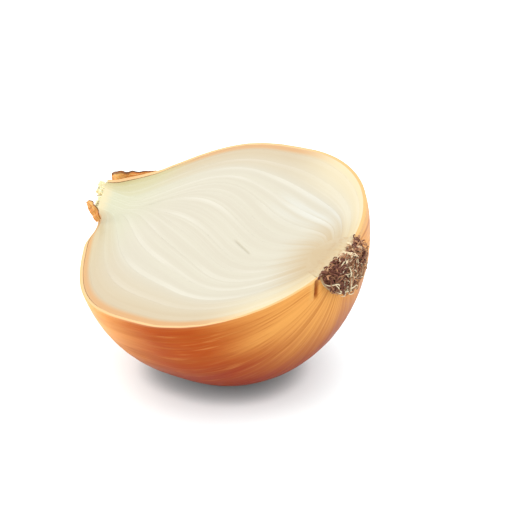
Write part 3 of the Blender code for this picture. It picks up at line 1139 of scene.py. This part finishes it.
@dataclass
class Bud:
    """The closed growing point in the middle."""

    stations: int = 120
    steps: int = 48
    rows: int = 22
    grown_into_gap: float = 0.145 * MM
    slit_depth: float = 0.20 * MM
    slit_width: float = 0.34 * MM

    def slit(self, place: Vector, along: float, across: float) -> float:
        """How deep the slim gap between the bud's folded leaves is at a place of the cut face.

        Args:
            place: the place.
            along: its share of the way from the neck to the root; not used.
            across: its share of the way from the axis; not used.

        Returns:
            The relief, which is below 0 in the gap.
        """
        off = place.x * SLIT.side[0] + place.y * SLIT.side[1] - SLIT.shift * MM
        half = SLIT.half * MM
        here = 1 - smooth_step((abs(place.x - SLIT.middle_x * MM) - half) / half)
        return -self.slit_depth * here * math.exp(-(off / self.slit_width) ** 2)

    def build(self) -> Piece:
        """Builds the bud in place of its solid.

        Returns:
            The dressed piece.
        """
        size = FORM.layer_sizes()[-1]
        clear = FORM.plate_x - FORM.plate_dome - FORM.gap
        outline = [p for p in FORM.layer_curve(*size) if p.x < clear]
        outer = moved_along_normals(FORM.resample(outline, self.stations), self.grown_into_gap)
        axis = [Vector((p.x, 0.0)) for p in outer]
        depth = FORM.layer_depth(size[0])
        shell = HalfShell(outer, axis, self.steps, self.rows, (depth, depth), lift=self.slit)
        piece = finish_mesh(shell.build(), "bud_heart", FleshFinish(slit_shade_share=0.4).make("bud_flesh", 9))
        fit_piece(piece, Slot.FLESH, "bud")
        return piece


@dataclass
class BasalPlate:
    """The short stem that carries the scales and the roots."""

    stations: int = 64
    steps: int = 40
    rows: int = 8
    grown_over_gap: float = 0.50 * MM
    proud: float = 0.03 * MM

    def build(self) -> Piece:
        """Builds the plate in place of its solid. It just covers the ends of the scales.

        Returns:
            The dressed piece.
        """
        outer = moved_along_normals(FORM.plate_curve(self.stations), self.grown_over_gap)
        axis = [Vector((p.x, 0.0)) for p in outer]
        shell = HalfShell(outer, axis, self.steps, self.rows, lift=lambda *_: self.proud)
        piece = finish_mesh(shell.build(), "stem_plate", FleshFinish(bark_share=0.85).make("stem_tissue", 12))
        fit_piece(piece, Slot.STEM, "basal_plate")
        return piece


def tube_along(path: Sequence[Vector], radii: Sequence[float], sides: int, tone: float) -> Shape:
    """A tube closed at both ends, from a grid rolled round a path of the onion's frame.

    Args:
        path: the points that it follows.
        radii: its radius at each point; both ends are drawn to a point.
        sides: how many sides it has.
        tone: a number that the finish reads.

    Returns:
        The tube in the part's frame.
    """
    last = len(path) - 1
    shape, run, spot = new_grid(last, sides)
    frames = []
    side = Vector((0.31, 0.72, 0.62))
    for i in range(last + 1):
        ahead = (path[min(i + 1, last)] - path[max(i - 1, 0)]).normalized()
        side = (side - ahead * side.dot(ahead)).normalized()
        frames.append((side.copy(), ahead.cross(side)))
    for vert in shape.verts:
        i = round((vert.co.x + 1) / 2 * last)
        turn = math.pi * (round((vert.co.y + 1) / 2 * sides) % sides) * 2 / sides
        first, second = frames[i]
        wall = 0.0 if i in (0, last) else radii[i]
        place = path[i] + (first * math.cos(turn) + second * math.sin(turn)) * wall
        vert[run] = (tone, i / last, 0.0)
        vert[spot] = place / MM
        vert.co = FORM.set_down(place)
    bmesh.ops.remove_doubles(shape, verts=shape.verts, dist=AT_CUT)
    return shape


def join(shapes: Sequence[Shape]) -> Shape:
    """Puts several bmeshes into one and frees them.

    Args:
        shapes: the bmeshes.

    Returns:
        The one that holds them all.
    """
    whole = bmesh.new()
    whole.verts.layers.float_vector.new("run")
    whole.verts.layers.float_vector.new("spot")
    carrier = bpy.data.meshes.new("carrier")
    for shape in shapes:
        shape.to_mesh(carrier)
        shape.free()
        whole.from_mesh(carrier)
    bpy.data.meshes.remove(carrier)
    return whole


@dataclass
class RootTuft:
    """A crust of root stumps and the dry roots that curl over it."""

    radius: float = 8.5 * MM
    thickness: float = 1.3 * MM
    edge_share: float = 0.45
    crust_tone: float = 0.12
    stations: int = 40
    steps: int = 60
    lump: float = 0.55 * MM
    break_up: float = 0.9 * MM
    fringe_count: int = 130
    fringe_points: int = 7
    fringe_stride: float = 0.40 * MM
    fringe_height: tuple[float, float] = (0.15 * MM, 0.9 * MM)
    clumps: int = 34
    strands: tuple[int, int] = (8, 14)
    scatter: float = 0.9 * MM
    spread: float = 7.9 * MM
    reach: float = 9.0 * MM
    stride: float = 0.72 * MM
    strides: tuple[int, int] = (5, 12)
    height: tuple[float, float] = (0.4 * MM, 2.4 * MM)
    curl: float = 0.30
    thick: tuple[float, float] = (0.10 * MM, 0.30 * MM)
    sides: int = 5
    ceiling: tuple[float, float] = (-0.4 * MM, 0.9 * MM)
    seed: int = 41

    def ragged(self, place: Vector, along: float, across: float) -> float:
        """How far the crust's broken edge stands above or below the cut plane."""
        rough = noise.noise(Vector((place.x / MM * 1.1, place.y / MM * 1.1, 5.0)))
        return self.break_up * rough * math.sin(math.pi * across)

    def crust(self) -> Shape:
        """The lumpy crust under the roots.

        Returns:
            The crust in the part's frame.
        """
        back, front = [], []
        for i in range(self.stations):
            share = i / (self.stations - 1)
            radius = self.radius * share
            rest = FORM.root_surface_x(radius) + 2 * FORM.gap
            thickness = self.thickness * (1 - (1 - self.edge_share) * share ** 2)
            lump = self.lump * noise.noise(Vector((share * 9.0, 2.0, 0.0)))
            back.append(Vector((rest, radius)))
            front.append(Vector((rest + thickness + lump, radius)))
        shape = HalfShell(front, back, self.steps, 6, lift=self.ragged).build()
        run = shape.verts.layers.float_vector["run"]
        for vert in shape.verts:
            vert[run] = (self.crust_tone, 0.0, 0.0)
        return shape

    def path(self, draw: random.Random, y: float, z: float, heading: float) -> list[Vector]:
        """The way of one root: out of the crust, curling over it and back down.

        Args:
            draw: the random source.
            y: where it starts across the cut face.
            z: where it starts out of the cut face.
            heading: the direction that it starts in.

        Returns:
            The points that it follows.
        """
        turning = draw.gauss(0, self.curl)
        height = draw.uniform(*self.height)
        bend = draw.uniform(0.6, 1.0)
        count = draw.randint(*self.strides)
        ceiling = draw.uniform(*self.ceiling)
        reach = self.reach * draw.uniform(0.86, 1.07)
        points = []
        for i in range(count + 1):
            t = i / count
            away = min(math.hypot(y, z), reach)
            rest = FORM.root_surface_x(away) + 2 * FORM.gap + self.thickness * 0.4
            x = rest + height * math.sin(math.pi * bend * t) ** 0.8
            points.append(FORM.natural(Vector((x, y, z))))
            heading += turning + draw.gauss(0, 0.35)
            y += self.stride * math.cos(heading)
            z = min(z + self.stride * math.sin(heading), ceiling)
            away = math.hypot(y, z)
            if away > reach:
                y *= reach / away
                z *= reach / away
        return points

    def tone(self, draw: random.Random, y: float, z: float) -> float:
        """The tone of roots at a place: two dark packed masses at the cut, pale wisps between and below.

        Args:
            draw: the random source.
            y: the place across the cut face.
            z: the place out of it.

        Returns:
            A tone from 0, nearly black, to 1, straw.
        """
        if z < -5.2 * MM:
            return draw.choice((0.45, 0.7, 0.9, 0.95))
        if y < -0.5 * MM or y > 5.5 * MM:
            return draw.choice((0.0, 0.06, 0.14, 0.28, 0.50))
        return draw.choice((0.25, 0.50, 0.65, 0.85, 0.95))

    def fringe(self, draw: random.Random) -> list[Shape]:
        """Short broken roots that lie over the cut side of the crust.

        Args:
            draw: the random source.

        Returns:
            The roots.
        """
        made = []
        for _ in range(self.fringe_count):
            y = draw.uniform(-1.0, 1.0) * self.spread
            deep = draw.uniform(-0.5, 1.1) * self.thickness
            heading = draw.uniform(0, 2 * math.pi)
            tone = self.tone(draw, y, 0.0) + draw.gauss(0, 0.1)
            top = draw.uniform(*self.fringe_height)
            path = []
            for i in range(self.fringe_points):
                x = FORM.root_surface_x(min(abs(y), self.reach)) + 2 * FORM.gap + deep
                z = top * math.sin(math.pi * i / (self.fringe_points - 1))
                path.append(FORM.natural(Vector((x, y, z))))
                heading += draw.gauss(0, 0.5)
                y += self.fringe_stride * math.cos(heading)
                deep += self.fringe_stride * math.sin(heading)
            thick = draw.uniform(*self.thick)
            made.append(tube_along(path, [thick] * self.fringe_points, self.sides, tone))
        return made

    def clump(self, draw: random.Random, number: int) -> list[Shape]:
        """One clump of roots that start together, lie much the same way and have one tone.

        Args:
            draw: the random source.
            number: the clump's number, which places it.

        Returns:
            The roots.
        """
        radius = self.spread * math.sqrt((number + 0.5) / self.clumps)
        around = -((number * GOLDEN_ANGLE) % math.pi)
        heading = draw.uniform(0, 2 * math.pi)
        tone = self.tone(draw, radius * math.cos(around), radius * math.sin(around))
        made = []
        for _ in range(draw.randint(*self.strands)):
            y = radius * math.cos(around) + draw.gauss(0, self.scatter)
            z = min(radius * math.sin(around) + draw.gauss(0, self.scatter), 0.0)
            path = self.path(draw, y, z, heading + draw.gauss(0, 0.8))
            thick = draw.uniform(*self.thick)
            radii = [thick * (1 - 0.6 * i / len(path)) for i in range(len(path))]
            made.append(tube_along(path, radii, self.sides, tone + draw.gauss(0, 0.09)))
        return made

    def build(self) -> Piece:
        """Builds the tuft in place of its solid.

        Returns:
            The dressed piece.
        """
        draw = random.Random(self.seed)
        shapes = [self.crust(), *self.fringe(draw)]
        for number in range(self.clumps):
            shapes.extend(self.clump(draw, number))
        piece = finish_mesh(join(shapes), "root_mat", RootFinish().make())
        fit_piece(piece, Slot.ROOT, "root_tuft")
        return piece


@dataclass
class TornNeck:
    """The dry leaf ends at the neck: two torn skin ends and the pale fibres between them."""

    clearance: tuple[float, float] = (0.35 * MM, 1.3 * MM)
    wall: float = 0.30 * MM
    rows: int = 56
    columns: int = 14
    far_x: tuple[float, float] = (-39.6 * MM, -48.0 * MM)
    far_angle: float = math.radians(-24)
    far_height: float = 3.3 * MM
    near_base: tuple[float, ...] = (-41.2 * MM, -8.0 * MM, 0.8 * MM)
    near_tip: tuple[float, ...] = (-43.4 * MM, -7.4 * MM, 6.6 * MM)
    near_width: tuple[float, ...] = (2.0 * MM, 0.5 * MM, 1.5 * MM)
    near_bow: float = 1.2 * MM
    tip_base: tuple[tuple[float, float], ...] = ((6.9 * MM, 1.0 * MM), (1.0 * MM, -5.6 * MM))
    tip_end: tuple[tuple[float, float], ...] = ((6.3 * MM, 1.4 * MM), (0.6 * MM, -4.8 * MM))
    tip_reach: tuple[float, float] = (3.2 * MM, 1.6 * MM)
    tip_sink: float = 0.45 * MM
    tip_root: float = 1.5 * MM
    tip_crinkle: float = 0.7 * MM
    fibres: int = 38
    fibre_depth: tuple[float, float] = (0.1 * MM, 3.0 * MM)
    fibre_length: tuple[float, float] = (1.0 * MM, 3.2 * MM)
    fibre_thick: tuple[float, float] = (0.12 * MM, 0.28 * MM)
    fibre_spread: float = 0.5
    fibre_rise: float = 0.3
    fibre_points: int = 7
    fibre_sides: int = 5
    seed: int = 12

    def clear_point(self, x: float, around: float, lifted: float = 1.0) -> Vector:
        """A point off the skin at x along the neck, at an angle round it. It lies close where lifted is 0.

        Args:
            x: the place along the neck.
            around: the angle.
            lifted: how far off the skin it is, from 0 to 1.

        Returns:
            The point.
        """
        radius = FORM.layer_radius(max(x, -FORM.neck_length), FORM.equator_radius, FORM.neck_radius)
        radius += self.clearance[0] + (self.clearance[1] - self.clearance[0]) * lifted
        return FORM.natural(Vector((x, radius * math.cos(around), radius * math.sin(around))))

    def blade(self, low: Edge, high: Edge, ripple: float, seed: float, bow: float = 0.0) -> Shape:
        """A thin crinkled leaf between two edges.

        Args:
            low: one edge, as a function of a share from 0 to 1.
            high: the other edge.
            ripple: how high it crinkles.
            seed: what moves the crinkles.
            bow: how far its middle bows out towards the near side. A bowed leaf is dark at both edges.

        Returns:
            The leaf, closed all round.
        """
        shape, run, spot = new_grid(self.rows, self.columns)
        for vert in shape.verts:
            u, v = (vert.co.x + 1) / 2, (vert.co.y + 1) / 2
            place = low(u).lerp(high(u), v)
            crinkle = Vector((u * 5.0 + seed, v * 2.5, seed))
            place += ripple * noise.noise_vector(crinkle) * smooth_step(v * 2) * smooth_step(u * 3)
            place.y -= bow * (1 - (2 * v - 1) ** 2)
            vert[run] = (u, abs(2 * v - 1) if bow else v, 0.0)
            vert[spot] = place / MM
            vert.co = FORM.set_down(place)
        shape.normal_update()
        behind = bmesh.ops.extrude_face_region(shape, geom=shape.faces[:], use_keep_orig=True)["geom"]
        for vert in behind:
            if isinstance(vert, bmesh.types.BMVert):
                vert.co -= vert.normal * self.wall
        return shape

    def far_flake(self) -> Piece:
        """The torn skin end that hugs the far side of the neck and stands up above the cut.

        Returns:
            The dressed piece.
        """
        start, end = self.far_x

        def low(t: float) -> Vector:
            """The edge on the skin."""
            return self.clear_point(start + (end - start) * t, self.far_angle * t ** 0.7, t)

        def high(t: float) -> Vector:
            """The torn edge that stands up.

            Args:
                t: how far along it, 0 to 1.

            Returns:
                A point of the edge.
            """
            torn = 0.4 * MM * noise.noise(Vector((t * 7.0, 0.0, 4.0))) * smooth_step(2 * t)
            crest = self.far_height * t ** 1.1 * (1 - 0.55 * smooth_step((t - 0.7) / 0.3)) + torn
            stand = Vector((0.6 * crest * t, 0.3 * crest, crest))
            return self.clear_point(start + (end - start) * t, 0.0, t) + stand

        piece = finish_mesh(self.blade(low, high, 0.5 * MM, 1.0), "torn_skin_far", GOLDEN_LEAF.make())
        fit_piece(piece, Slot.DRY_LEAF, "neck_flake_far")
        return piece

    def near_flake(self) -> Piece:
        """The curl of skin that peels off the near side of the neck.

        Returns:
            The dressed piece.
        """
        def edge(side: float) -> Edge:
            """One edge of the curl.

            Args:
                side: -0.5 for the first edge, or 0.5 for the other.

            Returns:
                The edge.
            """
            def place(t: float) -> Vector:
                """A point of the edge."""
                width = side * (0.1 + 0.9 * math.sin(math.pi * (0.06 + 0.66 * t))) * (1 - 0.95 * t ** 6)
                return Vector(self.near_base).lerp(Vector(self.near_tip), t) + width * Vector(self.near_width)
            return place

        shape = self.blade(edge(-0.5), edge(0.5), 0.5 * MM, 6.0, self.near_bow)
        piece = finish_mesh(shape, "torn_skin_near", bpy.data.materials[GOLDEN_LEAF.name])
        fit_piece(piece, Slot.DRY_LEAF, "neck_flake_near")
        return piece

    def fibre(self, draw: random.Random, number: int) -> Shape:
        """One fibre that frays out of a pale leaf end and spreads away from its neighbours.

        Args:
            draw: the random source.
            number: which of the two leaf ends.

        Returns:
            The fibre.
        """
        first, last = self.tip_base[number]
        y = first + (last - first) * draw.random()
        z = -draw.uniform(*self.fibre_depth)
        length = draw.uniform(*self.fibre_length)
        spread = draw.gauss(0, self.fibre_spread)
        path = []
        for i in range(self.fibre_points):
            t = i / (self.fibre_points - 1)
            x = -FORM.neck_length + self.tip_root - t * (length + self.tip_root)
            drift = Vector((0.0, spread, self.fibre_rise)) * t ** 2 * length
            path.append(FORM.natural(Vector((x, y, z))) + drift)
        thick = draw.uniform(*self.fibre_thick)
        radii = [thick * (1 - 0.6 * i / self.fibre_points) for i in range(self.fibre_points)]
        return tube_along(path, radii, self.fibre_sides, 0.5)

    def tip(self, number: int) -> Piece:
        """One pale leaf end with the fibres that fray out of it.

        Args:
            number: which of the two leaf ends.

        Returns:
            The dressed piece.
        """
        draw = random.Random(self.seed + number)
        start_x = -FORM.neck_length + self.tip_root
        reach = self.tip_reach[number]
        sides = []
        for start_y, end_y in zip(self.tip_base[number], self.tip_end[number]):
            start = FORM.natural(Vector((start_x, start_y, -self.tip_sink)))
            end = FORM.natural(Vector((-FORM.neck_length - reach, end_y, -self.tip_sink)))
            sides.append(lambda t, a=start, b=end: a.lerp(b, t))
        shapes = [self.blade(*sides, self.tip_crinkle, 2.0 + number)]
        shapes.extend(self.fibre(draw, number) for _ in range(self.fibres))
        name = f"pale_leaf_end_{number + 1}"
        piece = finish_mesh(join(shapes), name, PALE_LEAF.make())
        fit_piece(piece, Slot.PALE_LEAF, f"neck_tip_{number + 1}")
        return piece

    def build(self) -> list[Piece]:
        """Returns the neck's pieces in place of their solids."""
        return [self.far_flake(), self.near_flake(), self.tip(0), self.tip(1)]


@dataclass(frozen=True)
class Softbox:
    """One large rectangular light."""

    name: str
    place: tuple[float, float, float]
    aim: tuple[float, float, float]
    size: float
    power: float

    def build(self) -> None:
        """Hangs the light and turns it to its aim."""
        lamp = bpy.data.lights.new(self.name, "AREA")
        lamp.shape = "SQUARE"
        lamp.size = self.size
        lamp.energy = self.power
        holder = bpy.data.objects.new(self.name, lamp)
        bpy.context.scene.collection.objects.link(holder)
        holder.location = self.place
        away = Vector(self.aim) - Vector(self.place)
        holder.rotation_euler = away.to_track_quat("-Z", "Y").to_euler()


@dataclass
class Studio:
    """A plain pale floor, soft light and the camera at the photograph's viewing angle."""

    floor_size: float = 4.0
    floor_colour: Colour = (0.87, 0.94, 0.95)
    painted_contact_shadow: Colour = (0.44, 0.49, 0.50)
    painted_shadow_reach: float = 8 * MM
    sky_strength: float = 1.74
    key: Softbox = Softbox("key", (0.0, 0.05, 0.85), (0.0, 0.0, 0.02), 0.60, 1.0)
    fill: Softbox = Softbox("fill", (0.60, -0.55, 0.45), (0.0, 0.0, 0.02), 0.60, 0.6)
    side: Softbox = Softbox("side", (-0.70, -0.48, 0.14), (0.0, 0.0, 0.02), 0.50, 4.6)
    camera_place: tuple[float, float, float] = (0.3195, -0.38381, 0.30652)
    camera_turn: tuple[float, float, float] = (61.9995, 0.0179, 39.2375)
    lens: float = 138.715
    shift: tuple[float, float] = (0.06863, -0.04673)

    def floor(self) -> None:
        """Lays the floor under the onion, with a painted contact shadow that greys it close under the onion.
        """
        shape = bmesh.new()
        bmesh.ops.create_grid(shape, x_segments=1, y_segments=1, size=self.floor_size / 2)
        g = Graph("floor")
        # Painted contact shadow: the floor turns grey where the onion stands close over it, on top of the
        # shadow that the lights cast
        openness = g.node("AmbientOcclusion", {"Distance": self.painted_shadow_reach}).outputs["AO"]
        g.colour = g.blend(g.rise(openness, 0.20, 0.75), self.painted_contact_shadow, self.floor_colour)
        g.dress(0.9, Specular_IOR_Level=0.0)
        ground = finish_mesh(shape, "floor", g.material)

    def sky(self) -> None:
        """Surrounds the scene with even white light."""
        world = bpy.data.worlds.new("studio")
        world.use_nodes = True
        background = world.node_tree.nodes["Background"]
        background.inputs["Color"].default_value = (1.0, 1.0, 1.0, 1.0)
        background.inputs["Strength"].default_value = self.sky_strength
        bpy.context.scene.world = world

    def camera(self) -> None:
        """Sets the camera where the photograph was taken from."""
        eye = bpy.data.cameras.new("camera")
        eye.sensor_width = 36.0
        eye.lens = self.lens
        eye.shift_x, eye.shift_y = self.shift
        eye.clip_start = 0.01
        holder = bpy.data.objects.new("camera", eye)
        bpy.context.scene.collection.objects.link(holder)
        holder.location = self.camera_place
        holder.rotation_euler = [math.radians(angle) for angle in self.camera_turn]
        bpy.context.scene.camera = holder

    def build(self) -> None:
        """Sets up the whole studio."""
        self.floor()
        self.sky()
        self.key.build()
        self.fill.build()
        self.side.build()
        self.camera()
        bpy.context.scene.view_settings.view_transform = "Standard"


def main() -> None:
    """Dresses the onion and sets up the studio."""
    logging.basicConfig(level=logging.INFO, format="%(name)s: %(message)s")
    # Unseeded, noise_vector would differ from run to run
    noise.seed_set(NOISE_SEED)
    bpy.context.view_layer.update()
    PaperySkin().build()
    FleshyScales().build()
    Bud().build()
    BasalPlate().build()
    RootTuft().build()
    TornNeck().build()
    Studio().build()


if __name__ == "__main__":
    main()
